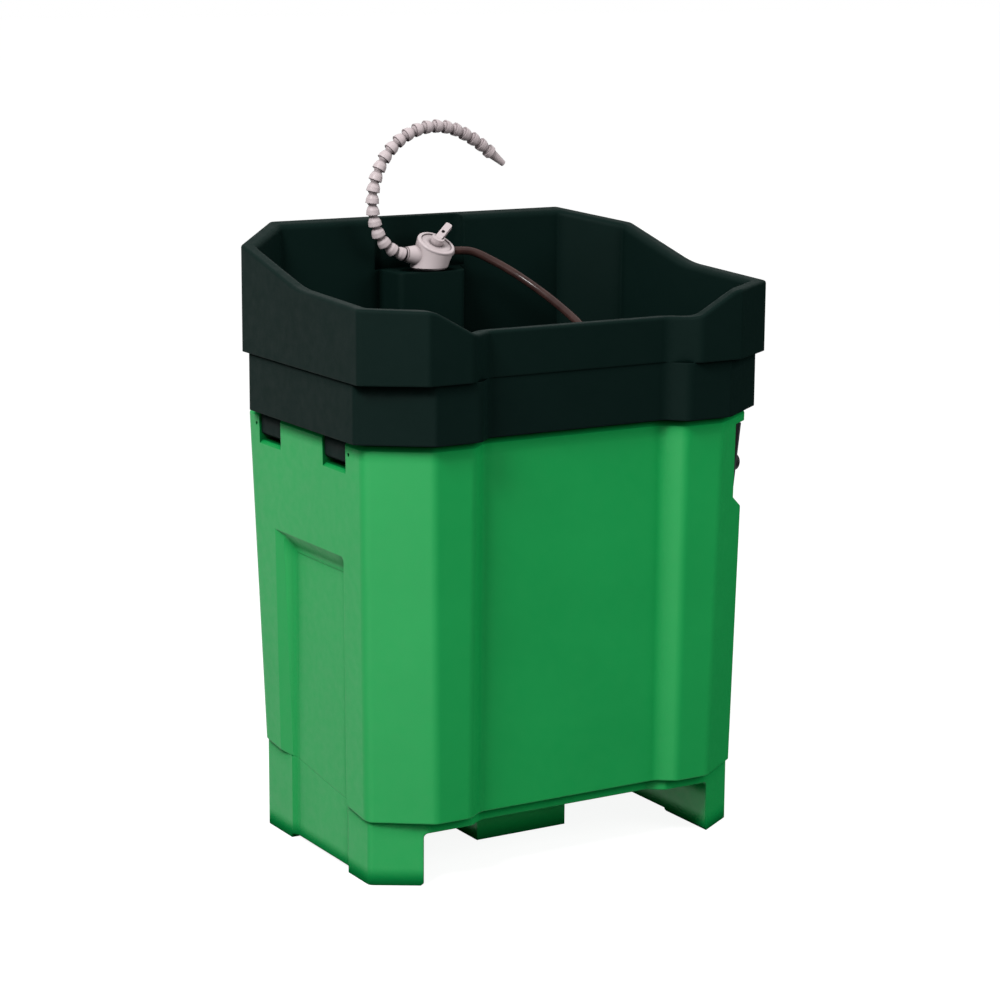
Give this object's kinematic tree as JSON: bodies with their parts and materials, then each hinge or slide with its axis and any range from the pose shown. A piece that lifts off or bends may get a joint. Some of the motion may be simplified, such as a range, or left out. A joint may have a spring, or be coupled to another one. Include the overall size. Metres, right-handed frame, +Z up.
{
  "type": "parts washer",
  "caption": "Free-standing parts washer: black sink hinged on a green moulded tank, with a jointed rinse hose, diverter valve, brush hose, pump, heater and controls.",
  "frame": {"origin": "on the floor, under the middle of the sink", "axes": "+X to the user's right, +Y to the back, +Z up"},
  "size_m": [0.75, 0.551, 1.1565],
  "materials": {
    "tank_green": "moulded, satin",
    "sink_black": "moulded, satin",
    "pale_plastic": "moulded",
    "brown_hose": "smooth",
    "dark_plastic": "moulded",
    "bristle": "drawn nylon",
    "steel": "brushed",
    "seal_rubber": "moulded",
    "brass": "machined",
    "panel_grey": "fine texture",
    "lamp_red": "clear lens"
  },
  "bodies": {
    "tank": {"tank_shell": "tank_green", "tank_base": "tank_green", "hinge_pins": "steel", "drain_plug": "dark_plastic", "pump_base": "dark_plastic", "pump_housing": "dark_plastic", "riser_pipe": "dark_plastic", "riser_coupling": "dark_plastic", "coupling_nut": "brass", "service_plate": "steel", "heater_element": "steel", "thermostat_probe": "steel", "float_stem": "steel", "control_box": "dark_plastic", "control_panel": "panel_grey", "panel_screws": "steel", "indicator_lamp": "lamp_red", "cable_gland": "dark_plastic"},
    "sink": {"sink_basin": "sink_black", "drain_flange": "steel", "drain_gasket": "seal_rubber", "drain_nut": "dark_plastic", "filter_basket": "steel", "valve_gasket": "seal_rubber", "valve_body": "pale_plastic", "valve_cap": "pale_plastic", "supply_tube": "dark_plastic", "brush_hose": "brown_hose", "brush_handle": "dark_plastic", "brush_bristles": "bristle"},
    "strainer": {"strainer": "steel"},
    "valve_lever": {"valve_lever": "pale_plastic"},
    "outlet": {"outlet_fitting": "pale_plastic"},
    "control_knob": {"control_knob": "dark_plastic"},
    "power_switch": {"power_switch": "dark_plastic"},
    "pump_impeller": {"pump_impeller": "pale_plastic"},
    "level_float": {"level_float": "pale_plastic"},
    "gooseneck_link_01": {"gooseneck_link_01": "pale_plastic"},
    "gooseneck_link_02": {"gooseneck_link_02": "pale_plastic"},
    "gooseneck_link_03": {"gooseneck_link_03": "pale_plastic"},
    "gooseneck_link_04": {"gooseneck_link_04": "pale_plastic"},
    "gooseneck_link_05": {"gooseneck_link_05": "pale_plastic"},
    "gooseneck_link_06": {"gooseneck_link_06": "pale_plastic"},
    "gooseneck_link_07": {"gooseneck_link_07": "pale_plastic"},
    "gooseneck_link_08": {"gooseneck_link_08": "pale_plastic"},
    "gooseneck_link_09": {"gooseneck_link_09": "pale_plastic"},
    "gooseneck_link_10": {"gooseneck_link_10": "pale_plastic"},
    "gooseneck_link_11": {"gooseneck_link_11": "pale_plastic"},
    "gooseneck_link_12": {"gooseneck_link_12": "pale_plastic"},
    "gooseneck_link_13": {"gooseneck_link_13": "pale_plastic"},
    "gooseneck_link_14": {"gooseneck_link_14": "pale_plastic"},
    "gooseneck_link_15": {"gooseneck_link_15": "pale_plastic"},
    "gooseneck_link_16": {"gooseneck_link_16": "pale_plastic"},
    "gooseneck_link_17": {"gooseneck_link_17": "pale_plastic"},
    "gooseneck_link_18": {"gooseneck_link_18": "pale_plastic"},
    "gooseneck_link_19": {"gooseneck_link_19": "pale_plastic"},
    "gooseneck_link_20": {"gooseneck_link_20": "pale_plastic"},
    "gooseneck_link_21": {"gooseneck_link_21": "pale_plastic"},
    "gooseneck_link_22": {"gooseneck_link_22": "pale_plastic", "gooseneck_nozzle": "pale_plastic"}
  },
  "joints": [
    {"name": "sink_tilt", "type": "hinge", "parent": "tank", "child": "sink", "pos_m": [-0.342, 0, 0.681], "axis": [0, -1, 0], "range_deg": [0, 75]},
    {"name": "strainer_lift", "type": "slide", "parent": "sink", "child": "strainer", "axis": [0, 0, 1], "range_m": [0, 0.03]},
    {"name": "valve_turn", "type": "hinge", "parent": "sink", "child": "valve_lever", "pos_m": [-0.0025, 0.206, 0.9475], "axis": [0.1336, -0.466, 0.8746], "range_deg": [-90, 90]},
    {"name": "gooseneck_swivel", "type": "hinge", "parent": "sink", "child": "outlet", "pos_m": [-0.065, 0.212, 0.9355], "axis": [-0.9903, 0, 0.1392], "range_deg": [-75, 10]},
    {"name": "knob_turn", "type": "hinge", "parent": "tank", "child": "control_knob", "pos_m": [0.34499, -0.163, 0.60764], "axis": [0.9931, 0, -0.1174], "range_deg": [-135, 135]},
    {"name": "switch_tip", "type": "hinge", "parent": "tank", "child": "power_switch", "pos_m": [0.34511, -0.09, 0.62182], "axis": [0, -1, 0], "range_deg": [0, 20]},
    {"name": "impeller_spin", "type": "hinge", "parent": "tank", "child": "pump_impeller", "pos_m": [0, 0.06, 0.04], "axis": [0, 0, 1], "continuous": true},
    {"name": "float_rise", "type": "slide", "parent": "tank", "child": "level_float", "axis": [0, 0, 1], "range_m": [0, 0.11]},
    {"name": "bend_01", "type": "hinge", "parent": "outlet", "child": "gooseneck_link_01", "pos_m": [-0.065, 0.212, 0.9355], "axis": [0, 1, 0], "range_deg": [-8, 2]},
    {"name": "bend_02", "type": "hinge", "parent": "gooseneck_link_01", "child": "gooseneck_link_02", "pos_m": [-0.08233, 0.212, 0.94304], "axis": [0, 1, 0], "range_deg": [-8, 2]},
    {"name": "bend_03", "type": "hinge", "parent": "gooseneck_link_02", "child": "gooseneck_link_03", "pos_m": [-0.09702, 0.212, 0.95493], "axis": [0, 1, 0], "range_deg": [-8, 2]},
    {"name": "bend_04", "type": "hinge", "parent": "gooseneck_link_03", "child": "gooseneck_link_04", "pos_m": [-0.108, 0.212, 0.97032], "axis": [0, 1, 0], "range_deg": [-8, 2]},
    {"name": "bend_05", "type": "hinge", "parent": "gooseneck_link_04", "child": "gooseneck_link_05", "pos_m": [-0.11446, 0.212, 0.98808], "axis": [0, 1, 0], "range_deg": [-8, 2]},
    {"name": "bend_06", "type": "hinge", "parent": "gooseneck_link_05", "child": "gooseneck_link_06", "pos_m": [-0.11823, 0.212, 1.0066], "axis": [0, 1, 0], "range_deg": [-8, 2]},
    {"name": "bend_07", "type": "hinge", "parent": "gooseneck_link_06", "child": "gooseneck_link_07", "pos_m": [-0.11922, 0.212, 1.02547], "axis": [0, 1, 0], "range_deg": [-8, 2]},
    {"name": "bend_08", "type": "hinge", "parent": "gooseneck_link_07", "child": "gooseneck_link_08", "pos_m": [-0.11741, 0.212, 1.04428], "axis": [0, 1, 0], "range_deg": [-8, 2]},
    {"name": "bend_09", "type": "hinge", "parent": "gooseneck_link_08", "child": "gooseneck_link_09", "pos_m": [-0.11283, 0.212, 1.06262], "axis": [0, 1, 0], "range_deg": [-8, 2]},
    {"name": "bend_10", "type": "hinge", "parent": "gooseneck_link_09", "child": "gooseneck_link_10", "pos_m": [-0.1056, 0.212, 1.08008], "axis": [0, 1, 0], "range_deg": [-8, 2]},
    {"name": "bend_11", "type": "hinge", "parent": "gooseneck_link_10", "child": "gooseneck_link_11", "pos_m": [-0.09587, 0.212, 1.09629], "axis": [0, 1, 0], "range_deg": [-8, 2]},
    {"name": "bend_12", "type": "hinge", "parent": "gooseneck_link_11", "child": "gooseneck_link_12", "pos_m": [-0.08364, 0.212, 1.1107], "axis": [0, 1, 0], "range_deg": [-9, 2]},
    {"name": "bend_13", "type": "hinge", "parent": "gooseneck_link_12", "child": "gooseneck_link_13", "pos_m": [-0.06925, 0.212, 1.12295], "axis": [0, 1, 0], "range_deg": [-9, 2]},
    {"name": "bend_14", "type": "hinge", "parent": "gooseneck_link_13", "child": "gooseneck_link_14", "pos_m": [-0.05307, 0.212, 1.13271], "axis": [0, 1, 0], "range_deg": [-9, 2]},
    {"name": "bend_15", "type": "hinge", "parent": "gooseneck_link_14", "child": "gooseneck_link_15", "pos_m": [-0.03552, 0.212, 1.13973], "axis": [0, 1, 0], "range_deg": [-9, 2]},
    {"name": "bend_16", "type": "hinge", "parent": "gooseneck_link_15", "child": "gooseneck_link_16", "pos_m": [-0.01707, 0.212, 1.14382], "axis": [0, 1, 0], "range_deg": [-9, 2]},
    {"name": "bend_17", "type": "hinge", "parent": "gooseneck_link_16", "child": "gooseneck_link_17", "pos_m": [0.0018, 0.212, 1.14488], "axis": [0, 1, 0], "range_deg": [-9, 2]},
    {"name": "bend_18", "type": "hinge", "parent": "gooseneck_link_17", "child": "gooseneck_link_18", "pos_m": [0.02061, 0.212, 1.14297], "axis": [0, 1, 0], "range_deg": [-9, 2]},
    {"name": "bend_19", "type": "hinge", "parent": "gooseneck_link_18", "child": "gooseneck_link_19", "pos_m": [0.03888, 0.212, 1.13814], "axis": [0, 1, 0], "range_deg": [-9, 2]},
    {"name": "bend_20", "type": "hinge", "parent": "gooseneck_link_19", "child": "gooseneck_link_20", "pos_m": [0.05617, 0.212, 1.13051], "axis": [0, 1, 0], "range_deg": [-9, 2]},
    {"name": "bend_21", "type": "hinge", "parent": "gooseneck_link_20", "child": "gooseneck_link_21", "pos_m": [0.07282, 0.212, 1.12155], "axis": [0, 1, 0], "range_deg": [-9, 2]},
    {"name": "bend_22", "type": "hinge", "parent": "gooseneck_link_21", "child": "gooseneck_link_22", "pos_m": [0.0887, 0.212, 1.11131], "axis": [0, 1, 0], "range_deg": [-9, 2]}
  ],
  "couplings": [
    {"joint": "bend_02", "follows": "bend_01", "ratio": 1},
    {"joint": "bend_03", "follows": "bend_01", "ratio": 1},
    {"joint": "bend_04", "follows": "bend_01", "ratio": 1},
    {"joint": "bend_05", "follows": "bend_01", "ratio": 1},
    {"joint": "bend_06", "follows": "bend_01", "ratio": 1},
    {"joint": "bend_07", "follows": "bend_01", "ratio": 1},
    {"joint": "bend_08", "follows": "bend_01", "ratio": 1},
    {"joint": "bend_09", "follows": "bend_01", "ratio": 1},
    {"joint": "bend_10", "follows": "bend_01", "ratio": 1},
    {"joint": "bend_11", "follows": "bend_01", "ratio": 1},
    {"joint": "bend_13", "follows": "bend_12", "ratio": 1},
    {"joint": "bend_14", "follows": "bend_12", "ratio": 1},
    {"joint": "bend_15", "follows": "bend_12", "ratio": 1},
    {"joint": "bend_16", "follows": "bend_12", "ratio": 1},
    {"joint": "bend_17", "follows": "bend_12", "ratio": 1},
    {"joint": "bend_18", "follows": "bend_12", "ratio": 1},
    {"joint": "bend_19", "follows": "bend_12", "ratio": 1},
    {"joint": "bend_20", "follows": "bend_12", "ratio": 1},
    {"joint": "bend_21", "follows": "bend_12", "ratio": 1},
    {"joint": "bend_22", "follows": "bend_12", "ratio": 1}
  ]
}
